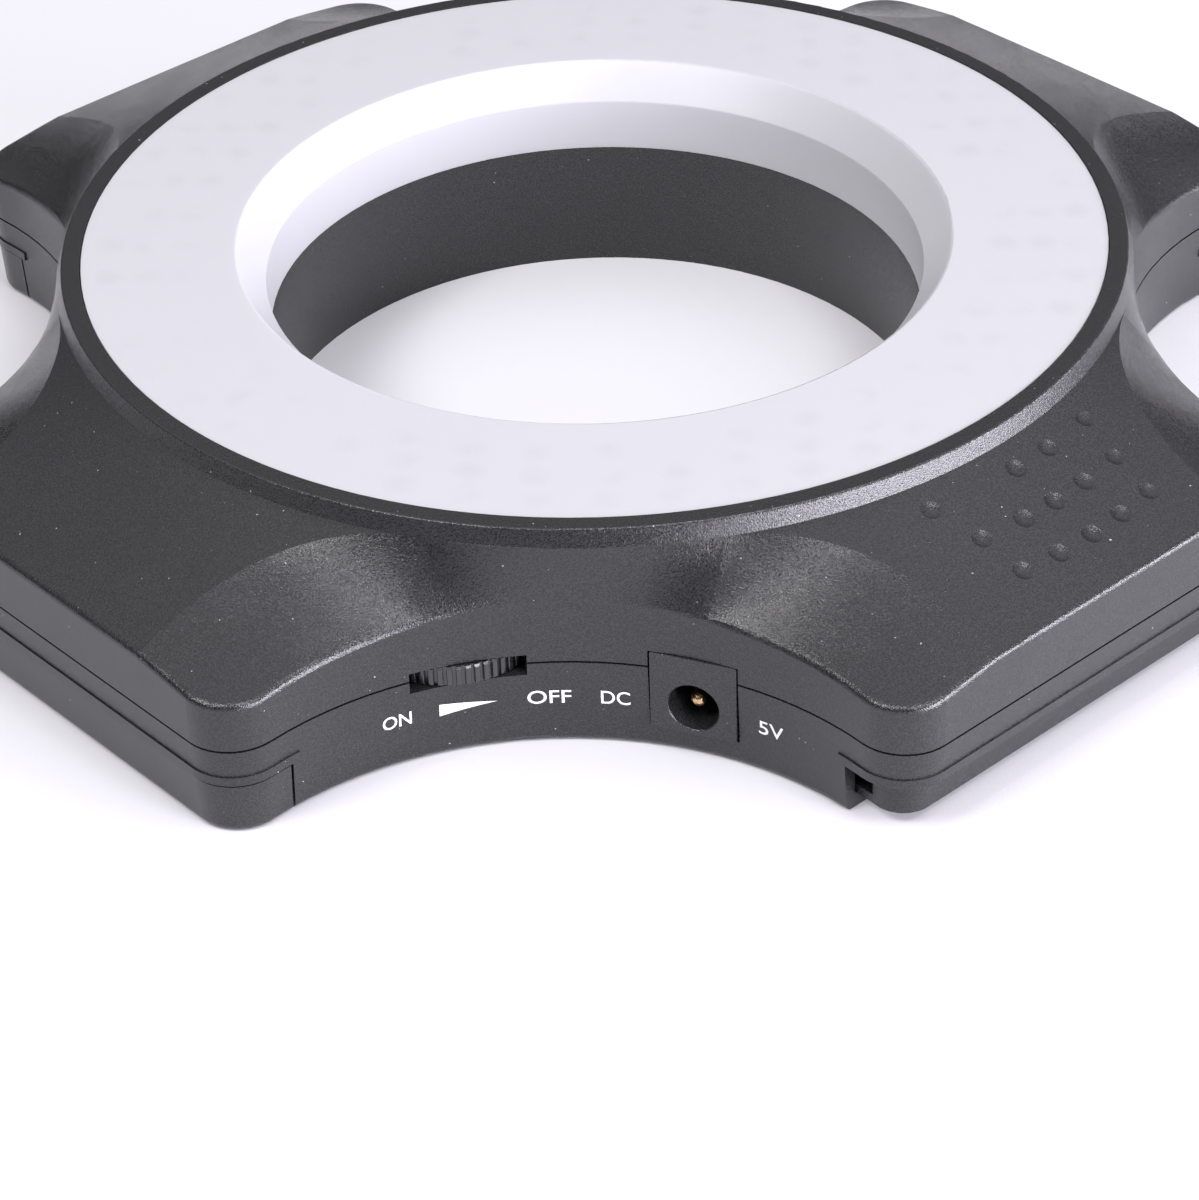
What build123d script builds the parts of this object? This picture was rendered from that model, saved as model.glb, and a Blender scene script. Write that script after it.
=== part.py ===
"""Battery ring light that lies on its back, light face up.

Millimetres, +Z up. The origin is on the table under the middle of the ring. Four lobes point
along the diagonals and hold one AA cell each. Four round scallops cut the outline on X and Y.
The scallop on -Y carries the dimmer wheel and the direct current inlet.
"""
import math
import os

from build123d import *

# Outline of the housing
flat_distance = 91.0
scallop_centre = 114.6
scallop_radius = 44.9
corner_radius = 6.4
corner_radius_least = 0.8
side_draft = 3.0
wall = 2.0
floor = 2.0
seam_z = 12.2
seam_gap = 0.28
base_edge_radius = 1.0
crest_radius = 0.9
crest_below = 3.0
crest_above = 0.5
crest_rise = 3.2

# Light head
rim_top_z = 30.5
rim_top_radius = 68.8
rim_foot_z = 28.4
rim_foot_radius = 69.6
rim_edge_radius = 0.3
rim_inner_radius = 66.4
rim_lip = 1.8
chamber_radius = 68.0
roof = 2.0
hole_radius_low = 43.8
tube_top_z = 18.6
tube_draft = 0.4
collar_height = 2.5
collar_wall = 1.0
collar_gap = 0.15

# Sloped tops of the lobes and the scoops beside the scallops
crease_distance = 90.5
crease_z = 20.35
scoop_start_angle = 21.0
scoop_end_angle = 58.0
scoop_middle = (67.4, 34.0)
scoop_end_along = 20.8
scoop_edge_z = 21.6
scoop_edge_drop = 0.058
scoop_hollow = 0.45
scoop_hollow_full_angle = 26.0
scoop_soft = 0.5
scoop_soft_start_angle = 28.0
scoop_soft_full_angle = 42.0
scoop_blend_power = 1.6
scoop_spare = 0.12
slope_spare = 4.0
cutter_height = 14.0
over = 1.0

# Grip dimples on the south-east lobe
dimple_radius = 0.95
dimple_depth = 0.16
dimple_rows = ((74.0, (-9.9, -4.0, 0.7, 5.4, 11.6)), (79.7, (-7.5, -2.7, 1.1, 5.1, 9.8)),
               (85.3, (-6.4, -2.5, 1.3, 5.0, 8.9)))

# Diffuser, spacer and light board
diffuser_top_z = 30.4
diffuser_plate = 2.2
diffuser_outer_radius = 66.25
diffuser_wall = 1.8
funnel_top_radius = 46.3
funnel_foot_radius = 42.75
funnel_foot_z = 25.75
funnel_edge_radius = 0.5
skirt_foot_radius = 42.6
flange_radius = 67.8
flange_height = 1.5
flange_width = 1.9
fit_gap = 0.05
board_thickness = 1.6
led_board_z = 20.0
led_board_inner = 47.6
led_board_outer = 67.6
spacer_wall = 1.8
led_rows = ((53.0, 40), (57.8, 44), (62.6, 48))
led_size = (2.8, 3.5, 0.8)
spacer_gap = 0.1

# Battery bays, all in a lobe's own frame: X outward, Y along the straight side
cell_radius = 7.25
cell_length = 50.5
nub_radius = 2.75
nub_length = 1.3
cell_distance = 80.0
cell_z = 9.75
cell_gap = 0.25
cell_roof_gap = 0.3
bay_wall = 1.2
tub_gap = 0.3
contact_thickness = 0.5
contact_gap = 0.02
contact_width = 9.0
leaf_travel = 3.9
leaf_thickness = 0.4
leaf_half_width = 2.5
tail_length = 1.8
tail_size = (2.2, 0.5)
tail_gap = 0.2
door_floor = 1.6
door_wall = 1.6
door_top_z = 6.9
door_gap = 0.35
door_skirt_gap = 0.75
skirt_wall = 1.2
pocket_depth = 1.9
skirt_start = 2.6
tongue_margin = 1.0
hook_depth = 0.9
hook_half = 6.0
rail_depth = 0.8
rail_start = 2.0
latch_height = 0.6
latch_gap = 0.3

# Dimmer wheel
wheel_radius = 10.5
wheel_teeth = 58
tooth_depth = 0.45
tooth_gap = 0.45
tooth_edge_radius = 0.14
wheel_chamfer = 0.25
wheel_proud = 0.8
wheel_gap = 0.4
wheel_arc = -12.4
wheel_low_z = 10.55
wheel_high_z = 13.25
wheel_rim = 1.9
wheel_web = 1.1
slot_width = 14.1
window_depth = 8.0
slot_low_z = 10.45
slot_high_z = 13.38
shaft_radius = 1.5
shaft_clearance = 0.05
shaft_below = 0.4
shaft_above = 0.4
pot_radius = 6.5
pot_gap = 0.3

# Direct current inlet, 5.5 by 2.1 mm plug
jack_arc = 14.6
jack_width = 10.8
jack_low_z = 3.5
jack_high_z = 14.4
jack_depth = 14.0
jack_gap = 0.22
jack_gap_high = 0.1
jack_corner_radius = 0.3
jack_hole_chamfer = 0.12
jack_hole_radius = 3.175
jack_hole_depth = 10.0
jack_hole_z = 7.42
jack_pin_radius = 1.05
jack_pin_recess = 1.2
jack_socket_radius = 1.0
jack_tail_length = 0.6
jack_tab_width = 2.2
jack_tab_thickness = 0.4
jack_tab_gap = 0.2
jack_tab_rise = 0.6
jack_side_tab = 6.2
jack_front_tab = 10.6
jack_back_tab_gap = 0.65
jack_tab_low_z = 6.2

# Driver board under the light board
driver_z = 14.45
driver_inner = 52.6
driver_outer = 66.8
driver_half_angle = 31.5
driver_post_inset = 6.0
driver_wall_gap = 1.0
chip_place = (61.5, -2)
chip_size = (4.0, 5.0, 1.5)
chip_lift = 0.2
leg_size = (1.4, 0.42, 0.5)
leg_reach = 2.5
leg_pitch = 1.27
coil_place = (60.0, 10)
coil_base = 7.3
coil_discs = ((2.6, 0.0, 3.0), (3.5, 2.65, 3.15))
coil_base_height = 0.8
capacitor_place = (58.5, 0.5)
capacitor_radius = 3.15
capacitor_height = 9.0
capacitor_groove = (2.2, 1.6)
capacitor_groove_depth = 0.35

# Posts, bosses and screws
post_radius = 2.4
post_margin = 0.4
pilot_radius = 0.85
board_screw_radius = 0.8
board_screw_head = 1.8
board_screw_head_height = 1.1
board_screw_length = 6.0
board_hole_gap = 0.2
inner_post_radius = 49.9
outer_post_radius = 63.9
case_boss_radius = 3.0
case_boss_reach = 48.6
case_boss_angle = 30.0
case_screw_radius = 1.25
case_screw_head = 2.4
case_screw_head_height = 1.7
case_screw_length = 13.0
case_screw_seat = 3.2
screw_gap = 0.2
drive_width = 0.4
insert_distance = 56.0
insert_outer = 4.6
insert_radius = 3.175
insert_length = 8.0
insert_recess = 0.3
insert_grooves = (2.2, 5.0)
insert_groove = (0.4, 1.0)
insert_boss_wall = 1.6

wire_radius = 0.7
wire_bend = 6.0
wire_distance = 62.0
wire_end_inset = 4.5
wire_end_depth = 6.0
wire_seat_gap = 0.02
wire_tail_margin = 0.1
lead_bend = 3.0
lead_out = 4.0
light_lead_radius = 0.5
light_lead_place = 56.0
light_lead_angle = 3.5

lobes = {"se": 315, "sw": 225, "nw": 135, "ne": 45}
door_lobes = ("sw", "nw", "ne")
scallops = (0, 90, 180, 270)
south = 270
half_turn = math.sqrt(0.5)
neck = scallop_centre * half_turn
reach = 110.0

hole_radius_high = skirt_foot_radius + fit_gap
collar_inner = skirt_foot_radius + diffuser_wall + collar_gap
tube_outer = collar_inner + collar_wall
collar_top_z = tube_top_z + collar_height
shell_top = seam_z + seam_gap / 2
shell_low = seam_z - seam_gap / 2
bay_in = cell_distance - cell_radius - cell_gap
bay_out = cell_distance + cell_radius + cell_gap
bay_half = (cell_length + 2 * contact_thickness + leaf_travel) / 2 + fit_gap
bay_top = cell_z + cell_radius + cell_roof_gap
tongue_half = bay_half + bay_wall + tongue_margin
tongue_x = bay_in - bay_wall - tongue_margin
skirt_inset = door_wall + door_skirt_gap
pad_top = pocket_depth + skirt_wall
door_cut_z = door_top_z + door_gap


def outline(inset=0.0):
    """Plan of the housing, moved inward by the inset."""
    side = 2 * (flat_distance - inset)
    shape = Rectangle(side, side, rotation=45)
    for angle in scallops:
        shape -= Rot(0, 0, angle) * Pos(scallop_centre, 0) * Circle(scallop_radius + inset)
    return fillet(shape.vertices(), max(corner_radius - inset, corner_radius_least))


def prism(plan, low, high):
    return Pos(0, 0, low) * extrude(plan, high - low)


def disc(radius, low, high):
    return prism(Circle(radius), low, high)


def ring(outer, inner, low, high):
    return prism(Circle(outer) - Circle(inner), low, high)


def block(x_low, x_high, y_low, y_high, z_low, z_high):
    size = (x_high - x_low, y_high - y_low, z_high - z_low)
    middle = ((x_low + x_high) / 2, (y_low + y_high) / 2, (z_low + z_high) / 2)
    return Pos(*middle) * Box(*size)


def turned(profile, soft=(), radius=0.0):
    """Solid of revolution about Z from (radius, height) corners, the soft ones rounded."""
    face = make_face(Polyline(*profile, close=True))
    for corner in soft:
        face = fillet(face.vertices().sort_by_distance(corner)[0], radius)
    return revolve(Rot(90, 0, 0) * face, Axis.Z)


def around(part, angles):
    return [Rot(0, 0, angle) * part for angle in angles]


def lobe_height(distance, along):
    """Height of the straight rules between the rim's foot and the straight side."""
    start = math.sqrt(rim_foot_radius**2 - along**2)
    slope = (rim_foot_z - crease_z) / (crease_distance - start)
    return rim_foot_z - slope * (distance - start)


def ruled_cutter(low_points, high_points):
    """Everything above the ruled surface between two curves."""
    face = Face.make_surface_from_curves(Edge.make_spline(low_points), Edge.make_spline(high_points))
    return extrude(face, cutter_height, dir=(0, 0, 1))


def slope_cutter():
    """Cuts a lobe's top, in the lobe's frame."""
    inner, outer = [], []
    for step in range(-6, 7):
        along = step * 8.0
        start = math.sqrt(rim_foot_radius**2 - along**2) - slope_spare
        inner.append(Vector(start, along, lobe_height(start, along)))
        end = crease_distance + slope_spare
        outer.append(Vector(end, along, lobe_height(end, along)))
    return ruled_cutter(outer, inner)


def circle_through(first, second, third):
    """Centre and radius of the circle through three points of the plan."""
    (ax, ay), (bx, by), (cx, cy) = first, second, third
    area = 2 * (ax * (by - cy) + bx * (cy - ay) + cx * (ay - by))
    aa, bb, cc = ax * ax + ay * ay, bx * bx + by * by, cx * cx + cy * cy
    x = (aa * (by - cy) + bb * (cy - ay) + cc * (ay - by)) / area
    y = (aa * (cx - bx) + bb * (ax - cx) + cc * (bx - ax)) / area
    return x, y, math.hypot(ax - x, ay - y)


def reach_to_circle(angle, x, y, radius, far):
    """Distance from the scallop's centre, along a ray, to a circle of the plan."""
    ux, uy = -math.cos(angle), math.sin(angle)
    dot = ux * (x - scallop_centre) + uy * y
    gap = (x - scallop_centre)**2 + y**2 - radius**2
    root = math.sqrt(dot * dot - gap)
    return dot + root if far else dot - root


def scoop_rule(degrees):
    """Lower and upper end of one rule of the scoop, in the scallop's frame."""
    angle = math.radians(abs(degrees))
    start = math.radians(scoop_start_angle)
    rho = reach_to_circle(start, 0, 0, rim_foot_radius, False)
    first = (scallop_centre - rho * math.cos(start), rho * math.sin(start))
    last = (half_turn * (crease_distance + scoop_end_along), half_turn * (crease_distance - scoop_end_along))
    if abs(degrees) <= scoop_start_angle:
        rho = reach_to_circle(angle, 0, 0, rim_foot_radius, False)
        top = rim_foot_z
    else:
        rho = reach_to_circle(angle, *circle_through(first, scoop_middle, last), True)
        x, y = scallop_centre - rho * math.cos(angle), rho * math.sin(angle)
        top = lobe_height(half_turn * (x + y), half_turn * (x - y))
    sign = math.copysign(1.0, degrees)
    low = Vector(scallop_centre - scallop_radius * math.cos(angle), sign * scallop_radius * math.sin(angle),
                 scoop_edge_z - scoop_edge_drop * abs(degrees))
    high = Vector(scallop_centre - rho * math.cos(angle), sign * rho * math.sin(angle), top)
    return low, high


def smooth_step(value, low, high):
    share = min(max((value - low) / (high - low), 0.0), 1.0)
    return share * share * (3 - 2 * share)


def scoop_blend(degrees):
    """How far a section leaves its straight rule: hollow near the rim, then soft from the lobe's top."""
    angle = abs(degrees)
    hollow = scoop_hollow * smooth_step(angle, scoop_start_angle, scoop_hollow_full_angle)
    rise = (scoop_hollow + scoop_soft) * smooth_step(angle, scoop_soft_start_angle, scoop_soft_full_angle)
    return rise - hollow


def scoop_section(degrees):
    """Points of the scoop down one section, from beyond its upper end to beyond its lower end."""
    low, high = scoop_rule(degrees)
    x, y = low.X, abs(low.Y)
    drop = lobe_height(half_turn * (x + y), half_turn * (x - y)) - low.Z
    points = []
    for step in range(7):
        part = -scoop_spare + (1 + 2 * scoop_spare) * step / 6
        if part < 0:
            bulge = part
        elif part > 1:
            bulge = (1 - scoop_blend_power) * (part - 1)
        else:
            bulge = part - part**scoop_blend_power
        point = high + (low - high) * part
        points.append(Vector(point.X, point.Y, point.Z + scoop_blend(degrees) * drop * bulge))
    return points


def scoop_middle_cutter():
    """Cuts the steep wall between the scallop and the rim's foot."""
    lows, highs = [], []
    for step in range(9):
        low, high = scoop_rule(scoop_start_angle * (step / 4 - 1))
        lows.append(low - (high - low) * scoop_spare)
        highs.append(high + (high - low) * scoop_spare)
    return ruled_cutter(lows, highs)


def scoop_cutters():
    """Cut the flanks beside one scallop, in the scallop's frame."""
    cutters = [scoop_middle_cutter()]
    for first, last in ((-scoop_end_angle, -scoop_start_angle), (scoop_start_angle, scoop_end_angle)):
        grid = [scoop_section(first + (last - first) * step / 10) for step in range(11)]
        face = Face.make_surface_from_array_of_points(grid, tol=0.003)
        cutters.append(extrude(face, cutter_height, dir=(0, 0, 1)))
    return cutters


def top_cutters():
    """Cutters of all four lobes and all four scallops."""
    cutters = around(slope_cutter(), lobes.values())
    for cutter in scoop_cutters():
        cutters += around(cutter, scallops)
    return cutters


def cut_tops(part, cutters, drop=0.0):
    for cutter in cutters:
        part -= Pos(0, 0, -drop) * cutter
    return part


def is_crest(edge):
    """An edge between the housing's walls and its sloped top."""
    box = edge.bounding_box()
    middle = edge.center()
    level = crease_z - crest_below < middle.Z < scoop_edge_z + crest_above
    flat = box.max.Z - box.min.Z < crest_rise
    return level and flat and math.hypot(middle.X, middle.Y) > rim_foot_radius


def rim_ring():
    """Bevelled rim round the diffuser, with the lip that holds it down."""
    low = rim_top_z - rim_lip
    return turned([(rim_inner_radius, low), (chamber_radius, low), (chamber_radius, rim_foot_z - roof),
                   (rim_foot_radius, rim_foot_z - roof), (rim_foot_radius, rim_foot_z),
                   (rim_top_radius, rim_top_z), (rim_inner_radius, rim_top_z)],
                  [(rim_top_radius, rim_top_z)], rim_edge_radius)


def wall_place(angle, arc, z, depth=0.0):
    """Frame on a scallop's wall: X along the arc, Y into the housing, Z up."""
    phi = math.degrees(arc / scallop_radius)
    centre = Rot(0, 0, angle) * Pos(scallop_centre, 0, z) * Rot(0, 0, 90 - phi)
    return centre * Pos(0, scallop_radius + depth, 0)


def jack_place(z=0.0, depth=0.0):
    """Frame in the middle of the flat inlet face, which is flush with the wall at its sides."""
    lift = scallop_radius - math.sqrt(scallop_radius**2 - (jack_width / 2)**2)
    return wall_place(south, jack_arc, z, depth - lift)


def jack_window():
    height = jack_high_z - jack_low_z + 2 * jack_gap_high
    box = Box(jack_width + 2 * jack_gap, window_depth, height)
    return jack_place((jack_low_z + jack_high_z) / 2) * box


def wheel_window():
    box = Box(slot_width, window_depth, slot_high_z - slot_low_z)
    return wall_place(south, wheel_arc, (slot_low_z + slot_high_z) / 2) * box


def wheel_room():
    """Room that the wheel turns in, inside the wall."""
    return wheel_centre() * disc(wheel_radius + wheel_gap, slot_low_z, slot_high_z)


def case_boss_places():
    """Places of the housing screws, two beside each scallop."""
    places = []
    for angle in scallops:
        for side in (-case_boss_angle, case_boss_angle):
            turn = Rot(0, 0, angle) * Pos(scallop_centre, 0) * Rot(0, 0, side)
            places.append(turn * Pos(-case_boss_reach, 0, 0))
    return places


def at_places(part, places):
    return [place * part for place in places]


def add_all(part, pieces):
    for piece in pieces:
        part += piece
    return part


def cut_all(part, pieces):
    for piece in pieces:
        part -= piece
    return part


def dimples():
    """Round hollows in the sloped top of the south-east lobe, in world place."""
    ball = (dimple_radius**2 + dimple_depth**2) / (2 * dimple_depth)
    balls = []
    for radius, angles in dimple_rows:
        for angle in angles:
            along = radius * math.sin(math.radians(angle))
            distance = radius * math.cos(math.radians(angle))
            z = lobe_height(distance, along) - dimple_depth + ball
            balls.append(Rot(0, 0, lobes["se"]) * Pos(distance, along, z) * Sphere(ball))
    return balls


def front_shell(cutters):
    shell = cut_tops(prism(outline(), shell_top, rim_foot_z), cutters).solids()[0]
    shell = Part() + shell.fillet(crest_radius, [edge for edge in shell.edges() if is_crest(edge)])
    hollow = cut_tops(prism(outline(wall), shell_top - over, rim_foot_z - roof), cutters, roof)
    posts = at_places(disc(case_boss_radius, shell_top, rim_foot_z - roof / 2), case_boss_places())
    keep = cut_tops(prism(outline(wall / 2), shell_top, rim_foot_z - roof / 2), cutters, roof / 2)
    hollow = cut_all(hollow, [keep & post for post in posts])
    shell = shell - hollow - disc(chamber_radius, shell_top - over, rim_foot_z + over)
    pilot = disc(case_screw_radius + fit_gap, shell_top - over, case_screw_seat + case_screw_length + over)
    shell = cut_all(shell, at_places(pilot, case_boss_places()))
    shell = cut_all(shell + rim_ring(), dimples())
    return shell - jack_window() - wheel_window() - wheel_room()


def lower_block():
    """Outside of the lower housing, drafted inward to a rounded base edge."""
    block_part = Pos(0, 0, shell_low) * extrude(outline(), shell_low, dir=(0, 0, -1), taper=side_draft)
    base = block_part.edges().group_by(Axis.Z)[0]
    return fillet(base, base_edge_radius)


def door_plan(gap=0.0):
    """Plan of a battery door in its lobe's frame: the lobe's end and a tongue over the cell."""
    end = Pos((neck + gap + reach) / 2, 0) * Rectangle(reach - neck - gap, 2 * reach)
    tongue = Pos((tongue_x + gap + reach) / 2, 0) * Rectangle(reach - tongue_x - gap, 2 * (tongue_half - gap))
    return end + tongue


def end_plan(gap=0.0):
    return Pos((neck + gap + reach) / 2, 0) * Rectangle(reach - neck - gap, 2 * reach)


def latch(spare=0.0):
    """Hook and side rails of a door's tongue or, with spare room, the slots that they slide in."""
    low, high = door_floor - latch_height - spare, door_floor + spare
    half = hook_half + spare
    hook = block(tongue_x - hook_depth - spare, tongue_x + over, -half, half, low, high)
    wide = tongue_half + rail_depth + spare
    return hook + block(tongue_x + rail_start - spare, neck + over, -wide, wide, low, high)


def bay_cut():
    """Room of one cell with its contacts, open below, in a lobe's frame."""
    room = block(bay_in, bay_out, -bay_half, bay_half, -over, bay_top)
    wide, thick = tail_size[0] + 2 * tail_gap, tail_size[1] + 2 * tail_gap
    far = bay_half + bay_wall + over
    slots = block(cell_distance - wide / 2, cell_distance + wide / 2, -far, far,
                  cell_z - thick / 2, cell_z + thick / 2)
    return [room, slots]


def bay_walls():
    high = bay_top + bay_wall
    return block(bay_in - bay_wall, bay_out + bay_wall, -bay_half - bay_wall, bay_half + bay_wall,
                 pocket_depth, high)


def lobe_outline(inset=0.0):
    """Plan of the housing turned into a lobe's frame."""
    return Rot(0, 0, 45) * outline(inset)


def lobe_insides():
    """Door skirt, raised floor and floor edge round the tongue of one lobe, in its frame."""
    core = lobe_outline(skirt_inset)
    inner = lobe_outline(skirt_inset + skirt_wall)
    skirt = prism((core - inner) & end_plan(skirt_start), pocket_depth, door_cut_z + skirt_wall)
    ledge = prism((lobe_outline() - inner) & end_plan(-1.0), door_cut_z, door_cut_z + skirt_wall)
    around_tongue = door_plan(-bay_wall)
    pad = prism(around_tongue & core, pocket_depth, pad_top)
    edge = prism((around_tongue - end_plan(-wall)) & core, floor / 2, pad_top)
    return [skirt, ledge, pad, edge]


def lobe_pockets():
    """Room of the door in its lobe's frame."""
    under = prism(door_plan(), -over, pocket_depth)
    sides = prism(end_plan() - lobe_outline(skirt_inset), -over, door_cut_z)
    return [under, sides] + bay_cut()


def hole_tube():
    """Drafted tube round the through hole, with a collar that holds the diffuser's skirt."""
    return turned([(hole_radius_low, 0), (tube_outer + tube_draft, 0), (tube_outer, collar_top_z),
                   (collar_inner, collar_top_z), (collar_inner, tube_top_z), (hole_radius_high, tube_top_z)])


def hole_cut():
    return turned([(0, -over), (hole_radius_low, -over), (hole_radius_low, 0), (hole_radius_high, tube_top_z),
                   (collar_inner, tube_top_z), (collar_inner, collar_top_z + over), (0, collar_top_z + over)])


def led_post_places():
    inner = [Rot(0, 0, angle) * Pos(inner_post_radius, 0) for angle in scallops]
    outer = [Rot(0, 0, angle) * Pos(outer_post_radius, 0) for angle in lobes.values()]
    return inner + outer


def driver_post_places():
    angles = (south - driver_half_angle + driver_post_inset, south + driver_half_angle - driver_post_inset)
    return [Rot(0, 0, angle) * Pos(driver_inner + post_radius + post_margin, 0) for angle in angles]


def shell_posts():
    """Posts of the light board, the driver board and the housing screws."""
    high = at_places(disc(post_radius, floor / 2, led_board_z), led_post_places())
    low = at_places(disc(post_radius, floor / 2, driver_z), driver_post_places())
    return high + low + at_places(disc(case_boss_radius, floor / 2, shell_low), case_boss_places())


def post_holes():
    """Screw holes in the posts, and the recesses of the housing screws' heads."""
    pilot = disc(pilot_radius, -board_screw_length, over)
    high = at_places(Pos(0, 0, led_board_z) * pilot, led_post_places())
    low = at_places(Pos(0, 0, driver_z) * pilot, driver_post_places())
    head = disc(case_screw_head + screw_gap, -over, case_screw_seat)
    shank = disc(case_screw_radius + screw_gap, -over, shell_low + over)
    return high + low + at_places(head + shank, case_boss_places())


def back_shell(outside, cutters):
    """Floor, walls, cell tubs, posts and hole tube in one moulding."""
    shell = outside - prism(outline(wall), floor, shell_low + over)
    for angle in lobes.values():
        shell = add_all(shell, [Rot(0, 0, angle) * piece for piece in lobe_insides()])
    shell = add_all(shell, [hole_tube()] + shell_posts())
    chamber = disc(chamber_radius - fit_gap, -over, collar_top_z + over)
    shell = shell & (prism(outline(), -over, shell_low) + chamber)
    roof_room = cut_tops(prism(outline(wall + tub_gap), 0, rim_foot_z), cutters, roof + tub_gap)
    shell = add_all(shell, [tub & roof_room for tub in around(bay_walls(), lobes.values())])
    insert_boss = disc(insert_outer + insert_boss_wall, floor / 2, insert_length + insert_boss_wall)
    shell += Pos(0, insert_distance, 0) * insert_boss
    for angle in lobes.values():
        shell = cut_all(shell, [Rot(0, 0, angle) * piece for piece in lobe_pockets()])
    shell = cut_all(shell, [Rot(0, 0, lobes[name]) * latch(latch_gap) for name in door_lobes])
    shell = shell - hole_cut() - Pos(0, insert_distance, 0) * disc(insert_outer, -over, insert_length)
    return cut_all(shell, post_holes() + [jack_window(), wheel_window(), wheel_room()])


def battery_door(outside, name):
    """Sliding cover of one bay, in world place."""
    turn = Rot(0, 0, lobes[name])
    door = outside & (turn * prism(door_plan(door_gap), -over, door_top_z))
    return door - prism(outline(door_wall), door_floor, door_top_z + over) + turn * latch()


def diffuser_ring():
    """Frosted ring with a funnel and skirt down its hole and a flange under the rim."""
    top = diffuser_top_z
    under = top - diffuser_plate
    high = rim_top_z - rim_lip - fit_gap
    low = high - flange_height
    foot = tube_top_z + fit_gap
    steepness = (top - funnel_foot_z) / (funnel_top_radius - funnel_foot_radius)
    shift = diffuser_wall * math.hypot(1, steepness) / steepness
    outer = skirt_foot_radius + diffuser_wall
    bend = (outer, top + steepness * (outer - funnel_top_radius - shift))
    web = (funnel_top_radius + shift - diffuser_plate / steepness, under)
    step = flange_radius - flange_width
    profile = [(skirt_foot_radius, foot), (funnel_foot_radius, funnel_foot_z), (funnel_top_radius, top),
               (diffuser_outer_radius, top), (diffuser_outer_radius, high), (flange_radius, high),
               (flange_radius, low), (step, low), (step, under), web, bend, (outer, foot)]
    return turned(profile, profile[1:3], funnel_edge_radius)


def led_board():
    high = led_board_z + board_thickness
    board = ring(led_board_outer, led_board_inner, led_board_z, high)
    hole = disc(board_screw_radius + board_hole_gap, led_board_z - over, high + over)
    return cut_all(board, at_places(hole, led_post_places()))


def leds():
    """Three rings of surface-mounted lamps."""
    width, depth, height = led_size
    z = led_board_z + board_thickness + height / 2
    lamps = []
    for radius, count in led_rows:
        for index in range(count):
            angle = 360 * (index + 0.5) / count
            lamps.append(Rot(0, 0, angle) * Pos(radius, 0, z) * Box(depth, width, height))
    return Compound(children=lamps)


def spacer_ring():
    low = led_board_z + board_thickness + fit_gap
    high = rim_top_z - rim_lip - 2 * fit_gap - flange_height
    return ring(flange_radius - spacer_gap, flange_radius - spacer_gap - spacer_wall, low, high)


def driver_board():
    """Circuit board over the wheel and the inlet."""
    plan = Circle(driver_outer) - Circle(driver_inner)
    for side in (-1, 1):
        turn = Rot(0, 0, south + side * driver_half_angle)
        plan -= turn * Pos(reach / 2, side * reach / 2) * Rectangle(reach, reach)
    plan = plan & (Pos(0, -reach / 2) * Rectangle(2 * reach, reach))
    plan -= Pos(0, -scallop_centre) * Circle(scallop_radius + wall + driver_wall_gap)
    board = prism(plan, driver_z, driver_z + board_thickness)
    hole = disc(board_screw_radius + board_hole_gap, driver_z - over, driver_z + board_thickness + over)
    return cut_all(board, at_places(hole, driver_post_places()))


def on_driver(place, z):
    """Frame on the driver board from a distance and an angle off the south."""
    distance, angle = place
    return Rot(0, 0, south + angle) * Pos(distance, 0, z)


def driver_chip():
    """Driver chip with four legs on each side, in one piece."""
    place = on_driver(chip_place, driver_z + board_thickness)
    chip = place * Pos(0, 0, chip_lift + chip_size[2] / 2) * Box(*chip_size)
    for side in (-1, 1):
        for step in (-1.5, -0.5, 0.5, 1.5):
            chip += place * Pos(side * leg_reach, step * leg_pitch, leg_size[2] / 2) * Box(*leg_size)
    return chip


def driver_coil():
    """Drum coil on a square base."""
    place = on_driver(coil_place, driver_z + board_thickness)
    core = place * Pos(0, 0, coil_base_height / 2) * Box(coil_base, coil_base, coil_base_height)
    for radius, low, high in coil_discs:
        core += place * disc(radius, low, high)
    return core


def driver_capacitor():
    """Electrolytic can that hangs under the board between the wheel and the inlet."""
    place = on_driver(capacitor_place, driver_z)
    can = disc(capacitor_radius, -capacitor_height, 0)
    low, high = capacitor_groove
    groove = ring(capacitor_radius + over, capacitor_radius - capacitor_groove_depth, -low, -high)
    return place * (can - groove)


def wheel_centre(z=0.0):
    return wall_place(south, wheel_arc, z, wheel_radius - wheel_proud)


def dimmer_wheel():
    """Thumb wheel with rounded ridges, hollow above its web for the control's body."""
    plan = Circle(wheel_radius)
    for index in range(wheel_teeth):
        notch = Pos(wheel_radius, 0) * Rectangle(2 * tooth_depth, tooth_gap)
        plan -= Rot(0, 0, 360 * index / wheel_teeth) * notch
    tips = [tip for tip in plan.vertices() if math.hypot(tip.X, tip.Y) > wheel_radius - tooth_depth / 2]
    plan = fillet(tips, tooth_edge_radius)
    inner, edge = wheel_radius - wheel_rim, wheel_radius - wheel_chamfer
    low, high, web_z = wheel_low_z, wheel_high_z, wheel_low_z + wheel_web
    body = turned([(shaft_radius, low), (edge, low), (wheel_radius, low + wheel_chamfer),
                   (wheel_radius, high - wheel_chamfer), (edge, high), (inner, high),
                   (inner, web_z), (shaft_radius, web_z)])
    return wheel_centre() * (body & prism(plan, wheel_low_z - over, wheel_high_z + over))


def dimmer_shaft():
    return wheel_centre() * disc(shaft_radius, wheel_low_z - shaft_below, driver_z - shaft_above)


def dimmer_control():
    """Body of the rotary control, fixed under the driver board."""
    body = disc(pot_radius, wheel_low_z + wheel_web + pot_gap, driver_z)
    bore = disc(shaft_radius + shaft_clearance, wheel_low_z, driver_z - shaft_above + shaft_clearance * 2)
    return wheel_centre() * (body - bore)


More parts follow.
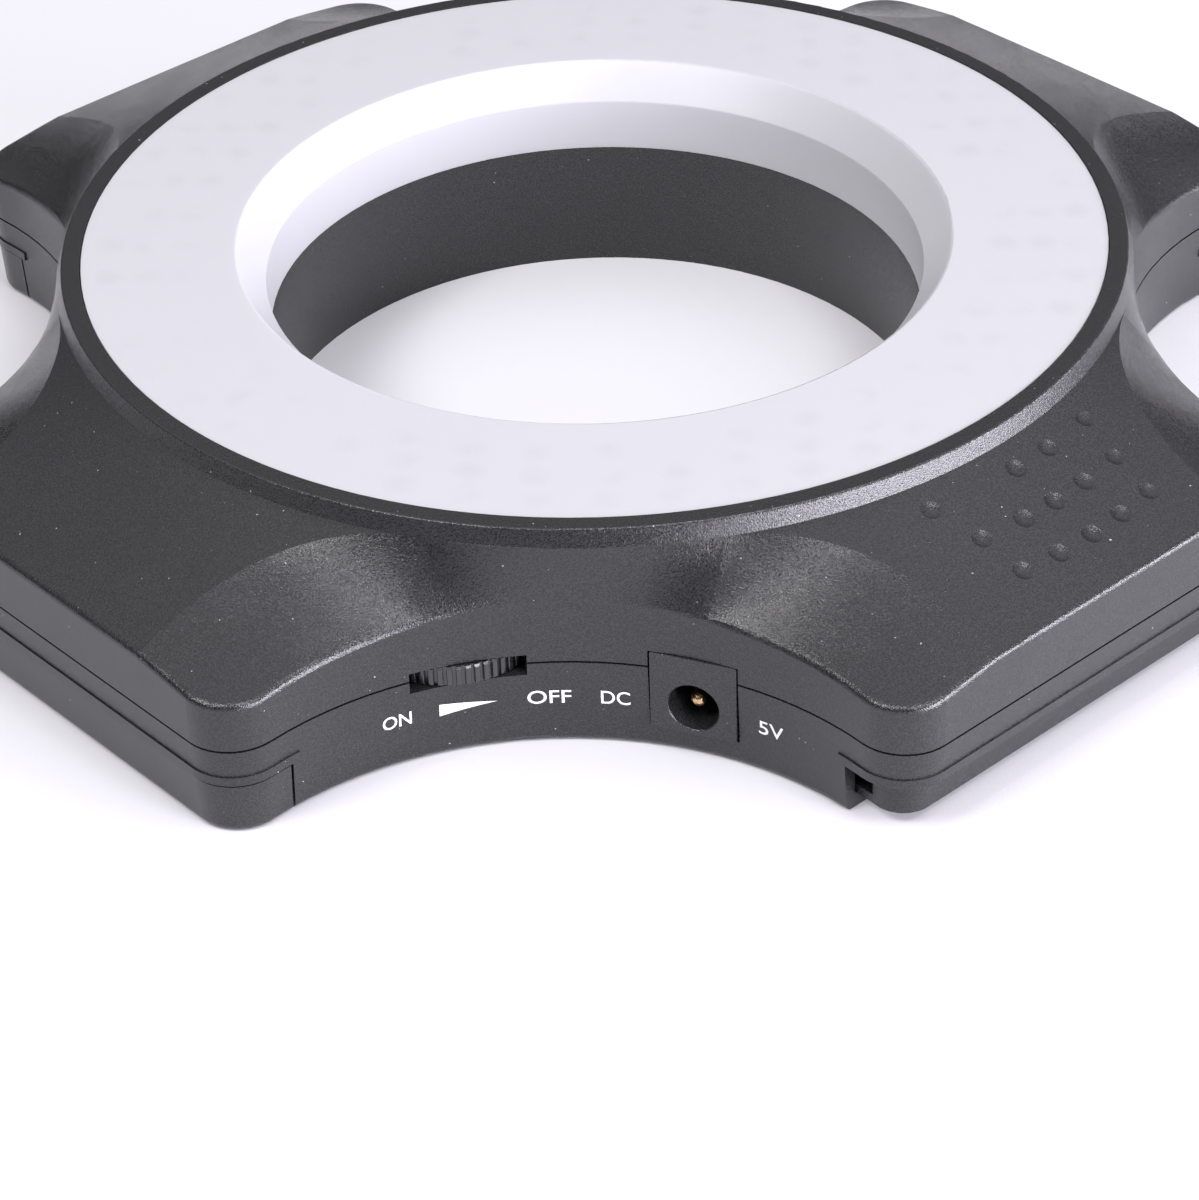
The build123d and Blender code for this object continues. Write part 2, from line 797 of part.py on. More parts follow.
def jack_block(low, high, width, front, back):
    """Block behind the inlet's face, in world place."""
    middle = jack_place((low + high) / 2, (front + back) / 2)
    return middle * Box(width, back - front, high - low)


def jack_rod(radius, front, back):
    return jack_place(jack_hole_z, (front + back) / 2) * Rot(90, 0, 0) * Cylinder(radius, back - front)


def jack_body():
    """Inlet body with rounded long edges, a chamfered round hole and a bore for the pin."""
    middle = jack_place((jack_low_z + jack_high_z) / 2) * Rot(90, 0, 0)
    face = RectangleRounded(jack_width, jack_high_z - jack_low_z, jack_corner_radius)
    body = middle * extrude(face, -jack_depth)
    body -= jack_rod(jack_hole_radius, -over, jack_hole_depth)
    body -= jack_rod(jack_socket_radius, jack_hole_depth - over, jack_depth + over)
    chamfer = Cone(jack_hole_radius, jack_hole_radius + 2 * jack_hole_chamfer, 2 * jack_hole_chamfer)
    return body - jack_place(jack_hole_z) * Rot(90, 0, 0) * chamfer


def jack_pin():
    """Round pin with a rounded tip, pressed in the inlet's back wall."""
    tip = jack_pin_recess + jack_pin_radius
    pin = jack_rod(jack_pin_radius, tip, jack_hole_depth)
    pin += jack_place(jack_hole_z, tip) * Sphere(jack_pin_radius)
    return pin + jack_rod(jack_socket_radius, jack_hole_depth - over / 2, jack_depth + jack_tail_length)


def jack_tab_blocks(low, high, gap=0.0):
    """Back, side and front tab of the inlet or, with a gap, the slots that they pass through."""
    wide, half = jack_tab_width + 2 * gap, jack_tab_thickness / 2 + gap
    back = jack_depth + jack_back_tab_gap + jack_tab_thickness / 2
    front = jack_front_tab
    return [jack_block(low[0], high, wide, back - half, back + half),
            jack_block(low[1], high, wide, jack_side_tab - half, jack_side_tab + half),
            jack_block(low[1], high, 2 * half, front - wide / 2, front + wide / 2)]


def jack_tabs():
    """Three solder tabs: behind, above and beside the inlet."""
    high = driver_z + board_thickness + jack_tab_rise
    return Compound(children=jack_tab_blocks((jack_tab_low_z, jack_high_z), high))


def jack_tab_cuts():
    low = driver_z - over
    return jack_tab_blocks((low, low), driver_z + board_thickness + over, jack_tab_gap)


def cells():
    """One AA cell in a lobe's frame, positive nub on the +Y end."""
    top = bay_half - contact_thickness - fit_gap
    bottom = top - cell_length
    lie = Pos(cell_distance, 0, cell_z) * Rot(-90, 0, 0)
    can = lie * disc(cell_radius, bottom, top - nub_length)
    return can + lie * disc(nub_radius, bottom + over, top)


def contact_plate(side):
    """Plate on a bay's end wall with its solder tail through the wall."""
    outer = bay_half - contact_gap
    half = contact_width / 2
    low, high = sorted((side * (outer - contact_thickness), side * outer))
    plate = block(cell_distance - half, cell_distance + half, low, high, cell_z - half, cell_z + half)
    width, height = tail_size
    low, high = sorted((side * (outer - contact_gap), side * (bay_half + bay_wall + tail_length)))
    tail = block(cell_distance - width / 2, cell_distance + width / 2, low, high,
                 cell_z - height / 2, cell_z + height / 2)
    return plate + tail


def leaf_contact():
    """Negative contact: a plate with a bowed leaf that presses on the cell."""
    plate = contact_plate(-1)
    half = contact_width / 2
    rise = leaf_travel - fit_gap
    base = -bay_half + contact_thickness
    outer = ThreePointArc((-half, base), (0, base + rise), (half, base))
    foot = half - leaf_thickness
    inner = ThreePointArc((-foot, base), (0, base + rise - leaf_thickness), (foot, base))
    closing = Line(outer @ 0, inner @ 0) + Line(outer @ 1, inner @ 1)
    bow = extrude(make_face(outer + inner + closing), leaf_half_width, both=True)
    return plate + Pos(cell_distance, 0, cell_z) * bow


def in_lobes(part):
    return Compound(children=around(part, lobes.values()))


def screw(radius, head_radius, head_height, length, z):
    """Pan-head screw with its head's seat at z, pointing down."""
    body = disc(radius, z - length, z + head_height / 2) + disc(head_radius, z, z + head_height)
    cross = Rectangle(head_radius, drive_width) + Rectangle(drive_width, head_radius)
    return body - prism(cross, z + head_height / 2, z + head_height + over)


def board_screws():
    """Screws of the light board and of the driver board."""
    screws = []
    for board_z, places in ((led_board_z, led_post_places()), (driver_z, driver_post_places())):
        body = screw(board_screw_radius, board_screw_head, board_screw_head_height, board_screw_length,
                     board_z + board_thickness)
        screws += at_places(body, places)
    return Compound(children=screws)


def case_screws():
    """Housing screws, put in from below."""
    up = Pos(0, 0, 2 * case_screw_seat) * Rot(180, 0, 0)
    body = up * screw(case_screw_radius, case_screw_head, case_screw_head_height, case_screw_length,
                      case_screw_seat)
    return Compound(children=at_places(body, case_boss_places()))


def thread_insert():
    """Brass insert for a quarter-inch camera screw, set in the back beside the north scallop."""
    insert = ring(insert_outer, insert_radius, insert_recess, insert_length)
    depth, width = insert_groove
    for z in insert_grooves:
        insert -= ring(insert_outer + over, insert_outer - depth, z, z + width)
    return Pos(0, insert_distance, 0) * insert


def lobe_point(angle, distance, along, z):
    """World point of a lobe-frame position."""
    turn = math.radians(angle)
    return (distance * math.cos(turn) - along * math.sin(turn),
            distance * math.sin(turn) + along * math.cos(turn), z)


def wire(points, radii):
    path = FilletPolyline(*points, radius=radii)
    return sweep(Plane(origin=path @ 0, z_dir=path % 0) * Circle(wire_radius), path=path)


def wires():
    """Three links between neighbouring cells and two leads to the driver board."""
    z = cell_z + tail_size[1] / 2 + wire_radius + wire_seat_gap
    along = bay_half + bay_wall + tail_length - wire_radius - wire_tail_margin
    start = cell_distance + tail_size[0] / 2
    turn = wire_distance
    made = []
    for angle in (0, 90, 180):
        first, second = angle - 45, angle + 45
        made.append(wire([lobe_point(first, start, along, z), lobe_point(first, turn, along, z),
                          lobe_point(second, turn, -along, z), lobe_point(second, start, -along, z)],
                         wire_bend))
    for side, angle in ((1, lobes["sw"]), (-1, lobes["se"])):
        end_angle = south - side * (driver_half_angle - wire_end_inset)
        edge = lobe_point(end_angle, driver_outer - wire_end_depth, 0, z)
        made.append(wire([lobe_point(angle, start, side * along, z),
                          lobe_point(angle, turn + lead_out, side * along, z), edge,
                          (edge[0], edge[1], driver_z - fit_gap)], lead_bend))
    return Compound(children=made)


def light_leads():
    """Two stiff leads from the driver board up to the light board."""
    low, high = driver_z + board_thickness, led_board_z
    places = [on_driver((light_lead_place, side * light_lead_angle), 0) for side in (-1, 1)]
    return Compound(children=at_places(disc(light_lead_radius, low, high), places))


def main():
    """All nodes by name."""
    cutters = top_cutters()
    outside = lower_block()
    parts = {"front_shell": front_shell(cutters), "back_shell": back_shell(outside, cutters)}
    for name in door_lobes:
        parts["battery_door_" + name] = battery_door(outside, name)
    parts["diffuser_ring"] = diffuser_ring()
    parts["spacer_ring"] = spacer_ring()
    parts["led_board"] = led_board()
    parts["leds"] = leds()
    parts["driver_board"] = cut_all(driver_board(), jack_tab_cuts())
    parts["driver_chip"] = driver_chip()
    parts["driver_coil"] = driver_coil()
    parts["driver_capacitor"] = driver_capacitor()
    parts["dimmer_wheel"] = dimmer_wheel()
    parts["dimmer_shaft"] = dimmer_shaft()
    parts["dimmer_control"] = dimmer_control()
    parts["dc_jack_body"] = jack_body()
    parts["dc_jack_pin"] = jack_pin()
    parts["dc_jack_tabs"] = jack_tabs()
    parts["aa_cells"] = in_lobes(cells())
    parts["cell_plates"] = in_lobes(contact_plate(1))
    parts["cell_springs"] = in_lobes(leaf_contact())
    parts["board_screws"] = board_screws()
    parts["case_screws"] = case_screws()
    parts["thread_insert"] = thread_insert()
    parts["cell_wires"] = wires()
    parts["light_leads"] = light_leads()
    return parts


if __name__ == "__main__":
    os.makedirs("parts", exist_ok=True)
    for name, part in main().items():
        export_step(part, f"parts/{name}.step")
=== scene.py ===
"""Looks of a battery ring light that lies on its back, light face up.

Metres, +Z up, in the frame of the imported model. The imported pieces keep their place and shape.
This script gives them their materials, prints the marks on the wall of the front scallop, and
sets the floor, the lights and the camera.
"""
import math

import bpy
from mathutils import Matrix, Vector


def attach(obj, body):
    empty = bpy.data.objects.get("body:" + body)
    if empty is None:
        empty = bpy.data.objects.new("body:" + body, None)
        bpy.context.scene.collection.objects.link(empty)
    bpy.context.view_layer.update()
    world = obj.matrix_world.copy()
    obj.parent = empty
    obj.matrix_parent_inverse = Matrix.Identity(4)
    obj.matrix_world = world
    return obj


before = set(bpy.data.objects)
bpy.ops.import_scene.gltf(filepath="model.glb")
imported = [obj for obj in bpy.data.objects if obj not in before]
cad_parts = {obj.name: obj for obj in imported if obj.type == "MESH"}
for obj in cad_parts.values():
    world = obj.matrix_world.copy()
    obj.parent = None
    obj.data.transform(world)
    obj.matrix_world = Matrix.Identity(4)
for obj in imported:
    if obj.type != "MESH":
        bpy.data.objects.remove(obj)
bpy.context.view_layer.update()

MM = 0.001

# Front scallop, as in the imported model, in mm
SCALLOP_CENTRE = 114.6
SCALLOP_RADIUS = 44.9
SEAM_Z = 12.2
SIDE_DRAFT = math.radians(3.0)

# Words on the scallop's wall: text, and its middle along the wall, its width and its height in mm
WORDS = {
    "mark_on": ("ON", -21.25, 3.65, 1.9),
    "mark_off": ("OFF", -2.85, 5.2, 2.0),
    "mark_dc": ("DC", 5.0, 3.5, 2.0),
    "mark_volts": ("5V", 24.55, 3.4, 2.0),
}
WORD_Z = 6.95

# Tapering bar between the words: its ends along the wall, its edges at the wide end and its tip's z
WEDGE_START, WEDGE_END = -16.0, -8.98
WEDGE_LOW, WEDGE_HIGH, WEDGE_TIP = 6.03, 7.79, 6.93
WEDGE_STEPS = 16

# Print of the marks
LETTER_BOLDNESS = 0.008
LETTER_STEPS = 6
INK_LIFT = 0.08
INK = (0.84, 0.84, 0.84)
INK_WORN = (0.55, 0.55, 0.56)

# Moulded black plastic: sizes in mm of its grain, the painted shade of its pits, blotches, rubbed streaks and
# dust
GRAIN_SIZE = 0.17
PIT_SHADE_SIZE = 0.24
BLOTCH_SIZE = 22.0
RUB_SIZE = 6.0
RUB_STRETCH = (1.0, 0.35, 1.0)
DUST_SIZE = 0.42
DUST_CUT = (0.882, 0.892)
DUST = (0.35, 0.35, 0.36)

# Its colour as shares of its tone: on average, in the painted shade of the grain's pits, and in the dark and
# light blotches, which are also lifted as painted light on the grain's crowns
PLASTIC_SHARES = (1.0, 1.0, 1.06)
PIT_SHADE_SHARES = (0.66, 0.66, 0.7)
DARK_SHARES = (1.22, 1.22, 1.3)
LIGHT_SHARES = (1.44, 1.44, 1.54)

# Values of a noise between which one look turns into the other, from a narrow to a wide change
NARROW = (0.36, 0.64)
MIDDLING = (0.35, 0.7)
WIDE = (0.3, 0.7)

# Frosted diffuser, and the lamps under it, which leave painted shade on it: radius in mm and count of each
# ring, and the inner and outer radius in mm of their blurred spots of painted shade
FROST = (0.52, 0.52, 0.545)
FROST_SHADED = (0.49, 0.49, 0.515)
LAMP_RINGS = ((53.0, 40), (57.8, 44), (62.6, 48))
SPOT_CORE = 0.4
SPOT_EDGE = 2.9

# Panels round the object: azimuth and elevation in degrees, distance, width and height in metres,
# power in watts and tone
PANELS = {
    "panel_side": (-28.0, 10.5, 0.65, 0.785, 0.233, 10.5, (0.92, 0.895, 1.0)),
    "panel_front_left": (-138.0, 54.0, 1.2, 0.36, 0.42, 7.5, (1.0, 0.98, 0.99)),
    "panel_front_right": (-53.0, 58.0, 1.2, 0.34, 0.42, 5.5, (0.97, 0.96, 1.0)),
}

# Light of the room: all round, overhead, and more of it overhead on the right and behind. The gate is
# the height, of a direction one long, over which the overhead light comes in
ROOM_TONE = (0.96, 0.95, 1.0)
ROOM_ROUND = 0.05
ROOM_TOP = 0.75
ROOM_RIGHT = 0.5
ROOM_BEHIND = 0.6
ROOM_GATE = (0.3, 0.95)

# Floor, in metres
FLOOR_SIZE = 8.0
FLOOR_DROP = 0.00002
FLOOR_COLOR = (0.68, 0.675, 0.70)
FLOOR_TONE = (0.95, 0.94, 1.0)
FLOOR_GLOW = 0.06

# Camera, with its distance and target in mm
FOCAL_PIXELS = 3840.4
IMAGE_WIDTH = 1199
SENSOR_WIDTH = 36.0
CAMERA_ELEVATION = math.radians(35.7)
CAMERA_AZIMUTH = math.radians(3.6)
CAMERA_ROLL = math.radians(-2.0)
CAMERA_DISTANCE = 482.57
CAMERA_TARGET = Vector((1.638, -40.31, 0.0))
CLIP_NEAR, CLIP_FAR = 0.01, 50.0


class Nodes:
    """Helpers that add nodes to one node tree."""

    def __init__(self, tree, coords):
        self.nodes = tree.nodes
        self.links = tree.links
        self.coords = self.nodes.new("ShaderNodeTexCoord").outputs[coords]

    def join(self, source, target):
        self.links.new(source, target)

    def noise(self, size_mm, detail=3.0, roughness=0.6, stretch=None):
        """Noise with features of about that size."""
        node = self.nodes.new("ShaderNodeTexNoise")
        node.inputs["Scale"].default_value = 1.0 / (size_mm * MM)
        node.inputs["Detail"].default_value = detail
        node.inputs["Roughness"].default_value = roughness
        self.join(self.stretched(stretch), node.inputs["Vector"])
        return node.outputs["Fac"]

    def stretched(self, stretch):
        if stretch is None:
            return self.coords
        node = self.nodes.new("ShaderNodeMapping")
        node.inputs["Scale"].default_value = stretch
        self.join(self.coords, node.inputs["Vector"])
        return node.outputs["Vector"]

    def math(self, operation, first, second=None):
        node = self.nodes.new("ShaderNodeMath")
        node.operation = operation
        for socket, value in zip(node.inputs, (first, second)):
            if value is None:
                continue
            if isinstance(value, (int, float)):
                socket.default_value = value
            else:
                self.join(value, socket)
        return node.outputs["Value"]

    def sum_of_squares(self, first, second):
        return self.math("ADD", self.math("MULTIPLY", first, first), self.math("MULTIPLY", second, second))

    def span(self, source, low, high, to_low, to_high):
        """Maps a stretch of values to another one, clamped and smooth."""
        node = self.nodes.new("ShaderNodeMapRange")
        node.interpolation_type = "SMOOTHSTEP"
        limits = {"From Min": low, "From Max": high, "To Min": to_low, "To Max": to_high}
        for name, value in limits.items():
            node.inputs[name].default_value = value
        self.join(source, node.inputs["Value"])
        return node.outputs["Result"]

    def blend_color(self, factor, first, second):
        """Colour between two, by a factor from another node."""
        node = self.nodes.new("ShaderNodeMix")
        node.data_type = "RGBA"
        self.join(factor, node.inputs["Factor"])
        for socket, value in ((node.inputs["A"], first), (node.inputs["B"], second)):
            if isinstance(value, tuple):
                socket.default_value = (*value, 1.0)
            else:
                self.join(value, socket)
        return node.outputs["Result"]

    def axis(self, name):
        node = self.nodes.new("ShaderNodeSeparateXYZ")
        self.join(self.coords, node.inputs["Vector"])
        return node.outputs[name]


class Material(Nodes):
    """One material with a Principled shader."""

    def __init__(self, name, color, roughness, metallic=0.0, specular=0.5):
        self.material = bpy.data.materials.new(name)
        self.material.use_nodes = True
        super().__init__(self.material.node_tree, "Object")
        self.shader = self.nodes["Principled BSDF"]
        self.set("Base Color", (*color, 1.0))
        self.set("Roughness", roughness)
        self.set("Metallic", metallic)
        self.set("Specular IOR Level", specular)
        self.height = None

    def set(self, socket, value):
        self.shader.inputs[socket].default_value = value

    def color(self, source):
        self.join(source, self.shader.inputs["Base Color"])

    def rough(self, source):
        self.join(source, self.shader.inputs["Roughness"])

    def bump(self, source, depth_mm, strength=1.0):
        node = self.nodes.new("ShaderNodeBump")
        node.inputs["Distance"].default_value = depth_mm * MM
        node.inputs["Strength"].default_value = strength
        self.join(source, node.inputs["Height"])
        if self.height is not None:
            self.join(self.height, node.inputs["Normal"])
        self.height = node.outputs["Normal"]
        self.join(self.height, self.shader.inputs["Normal"])


def shares(value, parts):
    """Colour whose channels are those shares of a value."""
    return tuple(value * part for part in parts)


def black_plastic(name, tone=0.018, roughness=0.17, grain=0.062, specular=0.57):
    """Moulded black plastic with an eroded grain, painted shade in the grain's pits and painted light on its
    crowns, faint blotches, rubbed streaks and some dust.
    """
    made = Material(name, shares(tone, PLASTIC_SHARES), roughness, specular=specular)
    grains = made.noise(GRAIN_SIZE, detail=1.0, roughness=0.5)
    blotch = made.span(made.noise(BLOTCH_SIZE, detail=4.0), *WIDE, 0.0, 1.0)
    dust = made.span(made.noise(DUST_SIZE, detail=0.0), *DUST_CUT, 0.0, 1.0)
    shade = made.blend_color(blotch, shares(tone, DARK_SHARES), shares(tone, LIGHT_SHARES))
    # Painted shade and light: darker pits of the grain, with the blotches around them lifted as painted light
    # on its crowns.
    pit_shade = made.span(made.noise(PIT_SHADE_SIZE, detail=1.0), *NARROW, 0.0, 1.0)
    pit_shaded_tone = made.blend_color(pit_shade, shares(tone, PIT_SHADE_SHARES), shade)
    made.color(made.blend_color(dust, pit_shaded_tone, DUST))
    rub = made.noise(RUB_SIZE, detail=5.0, roughness=0.7, stretch=RUB_STRETCH)
    made.rough(made.span(rub, *MIDDLING, roughness - 0.03, roughness + 0.04))
    made.bump(grains, grain)
    return made


def lamp_shade_spots(made, turn, radius, ring_radius, count):
    """Blurred spots of painted shade of one ring of lamps under the diffuser, from the place's part of a turn
    and its radius.
    """
    phase = made.math("FRACT", made.math("MULTIPLY", turn, float(count)))
    spacing = 2 * math.pi * ring_radius / count * MM
    along = made.math("MULTIPLY", made.math("SUBTRACT", phase, 0.5), spacing)
    across = made.math("SUBTRACT", radius, ring_radius * MM)
    square = made.sum_of_squares(along, across)
    return made.span(made.math("SQRT", square), SPOT_CORE * MM, SPOT_EDGE * MM, 1.0, 0.0)


def frosted(name):
    """Milky diffuser: the lamps below show as faint grey spots of painted shade."""
    made = Material(name, FROST, 0.42)
    made.set("Subsurface Weight", 0.25)
    made.set("Subsurface Scale", 0.003)
    made.set("Subsurface Radius", (1.0, 1.0, 1.1))
    x, y = made.axis("X"), made.axis("Y")
    radius = made.math("SQRT", made.sum_of_squares(x, y))
    turn = made.math("DIVIDE", made.math("ARCTAN2", y, x), 2 * math.pi)
    # Painted shade: grey spots in the diffuser's colour where the lamps lie under it, faded in clouds.
    spots = None
    for ring_radius, count in LAMP_RINGS:
        ring = lamp_shade_spots(made, turn, radius, ring_radius, count)
        spots = ring if spots is None else made.math("ADD", spots, ring)
    cloud = made.span(made.noise(9.0, detail=3.0), 0.4, 0.65, 0.0, 1.0)
    shade = made.math("MULTIPLY", spots, cloud)
    made.color(made.blend_color(shade, FROST, FROST_SHADED))
    made.bump(made.noise(0.35, detail=2.0), 0.008)
    return made


def metal(name, color, roughness, scratch_mm=0.4, tint=0.8):
    """Plated or turned metal with fine scratches and dull patches; where the patches are darkened strongly,
    as on the gold pin, they are partly painted reflection.
    """
    made = Material(name, color, roughness, metallic=1.0)
    patches = made.noise(2.5, detail=4.0)
    dull_and_dark_reflection = tuple(value * tint for value in color)
    made.color(made.blend_color(made.span(patches, *MIDDLING, 0.0, 1.0), color, dull_and_dark_reflection))
    made.rough(made.span(patches, *WIDE, roughness * 0.8, roughness * 1.25))
    made.bump(made.noise(scratch_mm, detail=4.0, stretch=(1.0, 6.0, 1.0)), 0.01)
    return made


def gold():
    """Gold plate of the inlet's pin, dented by plugs, with dark patches that are partly dull plating and
    partly painted reflection.
    """
    # Patches darkened to a third: partly dull plating, partly a painted dark reflection on the pin.
    made = metal("gold_plate", (0.95, 0.66, 0.36), 0.14, scratch_mm=0.3, tint=0.35)
    made.bump(made.noise(0.7, detail=1.0), 0.25)
    return made


def board(name, color):
    """Solder resist over copper with a slight weave."""
    made = Material(name, color, 0.38)
    weave = made.noise(1.2, detail=2.0, stretch=(1.0, 0.4, 1.0))
    darker = tuple(value * 0.85 for value in color)
    made.color(made.blend_color(made.span(weave, 0.35, 0.65, 0.0, 1.0), color, darker))
    made.bump(weave, 0.02)
    return made


def moulded(name, color, roughness, grain=0.012):
    """Plain moulding or lacquer with a soft grain."""
    made = Material(name, color, roughness)
    cloud = made.noise(4.0, detail=3.0)
    darker = tuple(value * 0.88 for value in color)
    made.color(made.blend_color(made.span(cloud, *WIDE, 0.0, 1.0), color, darker))
    made.rough(made.span(cloud, *WIDE, roughness * 0.9, roughness * 1.1))
    made.bump(made.noise(0.3, detail=2.0), grain)
    return made


def print_ink():
    """White pad print, slightly worn."""
    made = Material("mark_ink", INK, 0.5)
    worn = made.span(made.noise(0.25, detail=3.0), 0.58, 0.75, 0.0, 1.0)
    made.color(made.blend_color(worn, INK, INK_WORN))
    made.bump(made.noise(0.15, detail=2.0), 0.01)
    return made


def material_choices():
    """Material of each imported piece, by the piece's name."""
    shell = black_plastic("housing_plastic")
    door = black_plastic("door_plastic", tone=0.02)
    steel = metal("plated_steel", (0.56, 0.56, 0.56), 0.3)
    tin = metal("tinned_brass", (0.66, 0.63, 0.55), 0.35)
    return {
        "front_shell": shell,
        "back_shell": shell,
        "battery_door_sw": door,
        "battery_door_nw": door,
        "battery_door_ne": door,
        "diffuser_ring": frosted("frosted_diffuser"),
        "spacer_ring": moulded("white_moulding", (0.8, 0.8, 0.79), 0.5),
        "led_board": board("white_board", (0.8, 0.8, 0.78)),
        "leds": moulded("lamp_phosphor", (0.9, 0.8, 0.3), 0.3),
        "driver_board": board("green_board", (0.03, 0.2, 0.08)),
        "driver_chip": moulded("chip_epoxy", (0.02, 0.02, 0.02), 0.45),
        "driver_coil": moulded("coil_ferrite", (0.05, 0.05, 0.05), 0.6),
        "driver_capacitor": metal("capacitor_can", (0.6, 0.6, 0.62), 0.35),
        "dimmer_wheel": black_plastic("wheel_plastic", 0.012, roughness=0.22, grain=0.012, specular=1.0),
        "dimmer_shaft": steel,
        "dimmer_control": metal("control_can", (0.5, 0.5, 0.47), 0.35),
        "dc_jack_body": black_plastic("jack_plastic", 0.02, roughness=0.24, grain=0.06),
        "dc_jack_pin": gold(),
        "dc_jack_tabs": tin,
        "aa_cells": moulded("cell_sleeve", (0.11, 0.12, 0.14), 0.25),
        "cell_plates": tin,
        "cell_springs": steel,
        "board_screws": steel,
        "case_screws": metal("black_oxide", (0.08, 0.08, 0.085), 0.4),
        "thread_insert": metal("turned_brass", (0.72, 0.52, 0.22), 0.28),
        "cell_wires": moulded("wire_sleeve", (0.45, 0.03, 0.03), 0.35),
        "light_leads": metal("lead_copper", (0.8, 0.5, 0.36), 0.3),
    }


def node_materials():
    choices = material_choices()
    for name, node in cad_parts.items():
        node.data.materials.clear()
        node.data.materials.append(choices[name].material)


def on_wall(arc, z, lift):
    """Point on the front scallop's drafted wall, from mm: arc to the right, z up, lift out of the wall."""
    angle = arc / SCALLOP_RADIUS
    radius = SCALLOP_RADIUS + (SEAM_Z - z) * math.tan(SIDE_DRAFT) - lift
    return Vector((math.sin(angle) * radius, math.cos(angle) * radius - SCALLOP_CENTRE, z)) * MM


def printed(name, points, faces, ink):
    """A printed mark, a sheet just proud of the wall, from points (arc, z) and faces of their numbers."""
    mesh = bpy.data.meshes.new(name)
    mesh.from_pydata([on_wall(arc, z, INK_LIFT) for arc, z in points], [], faces)
    mark = bpy.data.objects.new(name, mesh)
    bpy.context.scene.collection.objects.link(mark)
    mesh.materials.append(ink.material)
    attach(mark, "root")
    return mark


def lettering(name, ink):
    """A word on the wall, stretched to its width and cap height."""
    text, centre, width, height = WORDS[name]
    curve = bpy.data.curves.new(name, "FONT")
    curve.body = text
    curve.offset = LETTER_BOLDNESS
    curve.resolution_u = LETTER_STEPS
    holder = bpy.data.objects.new(name, curve)
    bpy.context.scene.collection.objects.link(holder)
    flat = bpy.data.meshes.new_from_object(holder.evaluated_get(bpy.context.evaluated_depsgraph_get()))
    bpy.data.objects.remove(holder)
    corners = [vertex.co for vertex in flat.vertices]
    low_x, high_x = min(c.x for c in corners), max(c.x for c in corners)
    low_y, high_y = min(c.y for c in corners), max(c.y for c in corners)
    points = []
    for corner in corners:
        arc = centre + ((corner.x - low_x) / (high_x - low_x) - 0.5) * width
        points.append((arc, WORD_Z + ((corner.y - low_y) / (high_y - low_y) - 0.5) * height))
    return printed(name, points, [tuple(face.vertices) for face in flat.polygons], ink)


def wedge(name, ink):
    """Tapering bar that shows which way the light dims."""
    points, faces = [], []
    for step in range(WEDGE_STEPS + 1):
        part = step / WEDGE_STEPS
        arc = WEDGE_START + (WEDGE_END - WEDGE_START) * part
        points += [(arc, side + (WEDGE_TIP - side) * part) for side in (WEDGE_LOW, WEDGE_HIGH)]
    for step in range(WEDGE_STEPS):
        first = 2 * step
        faces.append((first, first + 2, first + 3, first + 1))
    return printed(name, points, faces, ink)


def marks():
    """All the marks, from left to right."""
    ink = print_ink()
    lettering("mark_on", ink)
    wedge("mark_wedge", ink)
    for name in ("mark_off", "mark_dc", "mark_volts"):
        lettering(name, ink)


def camera():
    """Camera at the photograph's angle."""
    sin_a, cos_a = math.sin(CAMERA_AZIMUTH), math.cos(CAMERA_AZIMUTH)
    sin_e, cos_e = math.sin(CAMERA_ELEVATION), math.cos(CAMERA_ELEVATION)
    forward = Vector((-sin_a * cos_e, cos_a * cos_e, -sin_e))
    level = Vector((cos_a, sin_a, 0.0))
    upright = level.cross(forward)
    right = level * math.cos(CAMERA_ROLL) + upright * math.sin(CAMERA_ROLL)
    up = upright * math.cos(CAMERA_ROLL) - level * math.sin(CAMERA_ROLL)
    data = bpy.data.cameras.new("camera")
    data.sensor_fit = "HORIZONTAL"
    data.sensor_width = SENSOR_WIDTH
    data.lens = SENSOR_WIDTH * FOCAL_PIXELS / IMAGE_WIDTH
    data.clip_start = CLIP_NEAR
    data.clip_end = CLIP_FAR
    rig = bpy.data.objects.new("camera", data)
    bpy.context.scene.collection.objects.link(rig)
    turn = Matrix((right, up, -forward)).transposed()
    eye = (CAMERA_TARGET - forward * CAMERA_DISTANCE) * MM
    rig.matrix_world = Matrix.Translation(eye) @ turn.to_4x4()
    bpy.context.scene.camera = rig


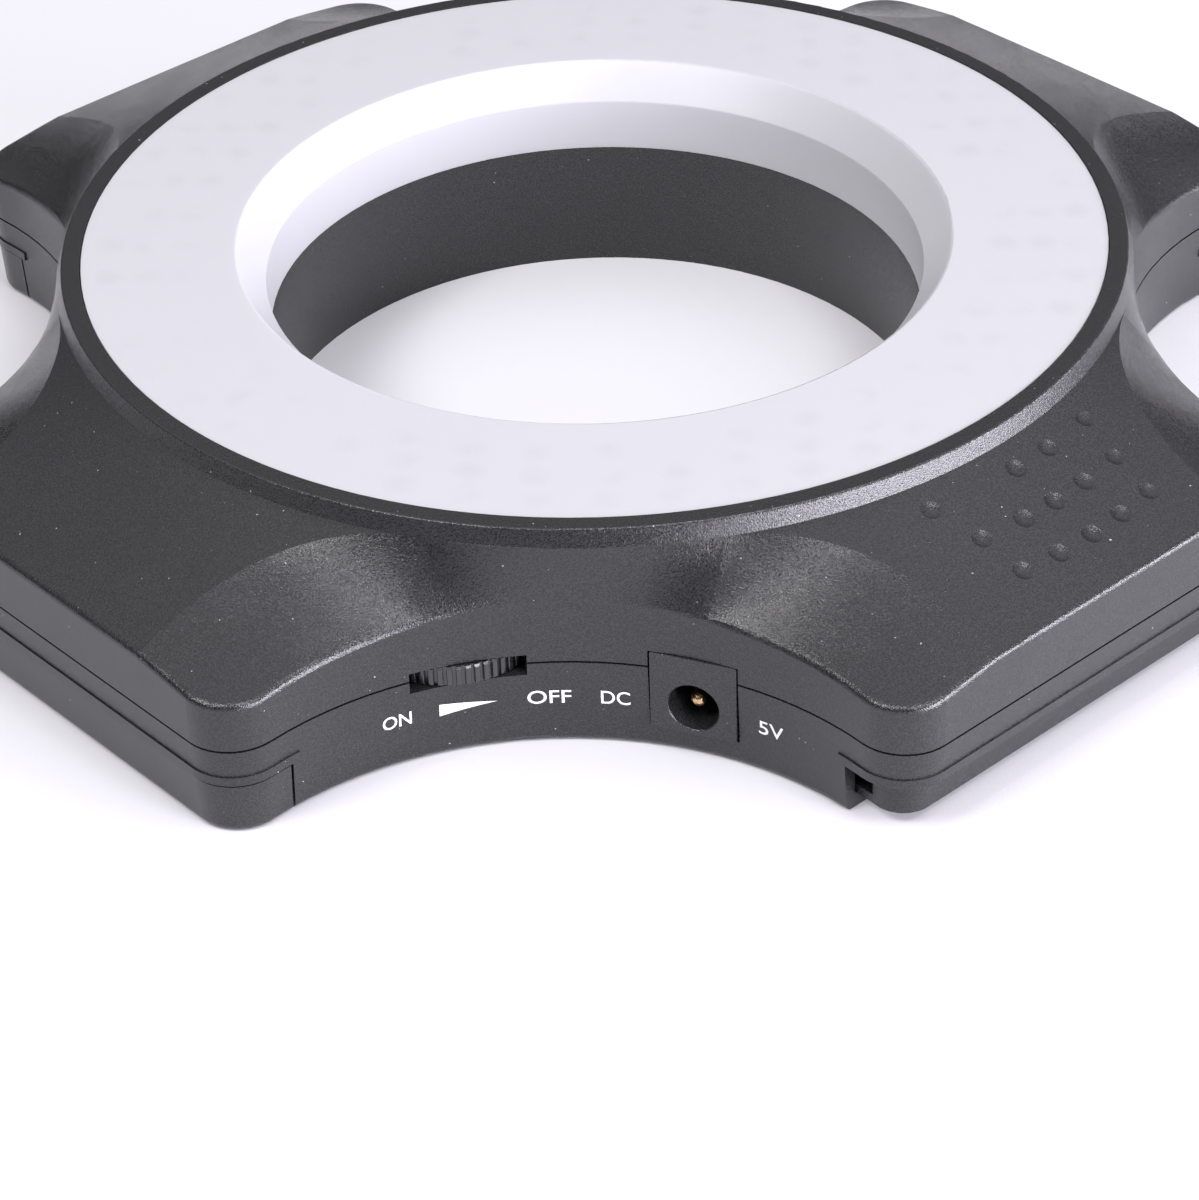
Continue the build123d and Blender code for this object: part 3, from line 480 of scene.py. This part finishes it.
def soft_light(name, azimuth, elevation, distance, width, height, power, tone):
    """A soft panel that points at the object."""
    data = bpy.data.lights.new(name, "AREA")
    data.shape = "RECTANGLE"
    data.size = width
    data.size_y = height
    data.energy = power
    data.color = tone
    turn, rise = math.radians(azimuth), math.radians(elevation)
    lamp = bpy.data.objects.new(name, data)
    level = math.cos(rise)
    lamp.location = distance * Vector((math.cos(turn) * level, math.sin(turn) * level, math.sin(rise)))
    lamp.visible_camera = False
    lamp.rotation_mode = "QUATERNION"
    lamp.rotation_quaternion = (-lamp.location).to_track_quat("-Z", "Y")
    bpy.context.scene.collection.objects.link(lamp)


def room():
    """Soft light of the room: dim near the floor, brighter overhead, most of it right and behind."""
    world = bpy.data.worlds.new("studio")
    world.use_nodes = True
    made = Nodes(world.node_tree, "Generated")
    right = made.math("MULTIPLY", made.math("MAXIMUM", made.axis("X"), 0.0), ROOM_RIGHT)
    behind = made.math("MULTIPLY", made.math("MAXIMUM", made.axis("Y"), 0.0), ROOM_BEHIND)
    over = made.math("ADD", made.math("ADD", right, behind), ROOM_TOP)
    gate = made.span(made.axis("Z"), *ROOM_GATE, 0.0, 1.0)
    strength = made.math("ADD", made.math("MULTIPLY", gate, over), ROOM_ROUND)
    backdrop = made.nodes["Background"]
    backdrop.inputs["Color"].default_value = (*ROOM_TONE, 1.0)
    made.join(strength, backdrop.inputs["Strength"])
    bpy.context.scene.world = world


def studio():
    """Pale floor just under the object, the room and the panels."""
    bpy.ops.mesh.primitive_plane_add(size=FLOOR_SIZE, location=(0.0, 0.0, -FLOOR_DROP))
    floor = bpy.context.object
    floor.name = "floor"
    paper = Material("floor_paper", FLOOR_COLOR, 0.7, specular=0.2)
    paper.set("Emission Color", (*FLOOR_TONE, 1.0))
    paper.set("Emission Strength", FLOOR_GLOW)
    paper.bump(paper.noise(0.5, detail=3.0), 0.02)
    floor.data.materials.append(paper.material)
    room()
    for name, values in PANELS.items():
        soft_light(name, *values)
    bpy.context.scene.view_settings.view_transform = "Standard"


node_materials()
marks()
camera()
studio()
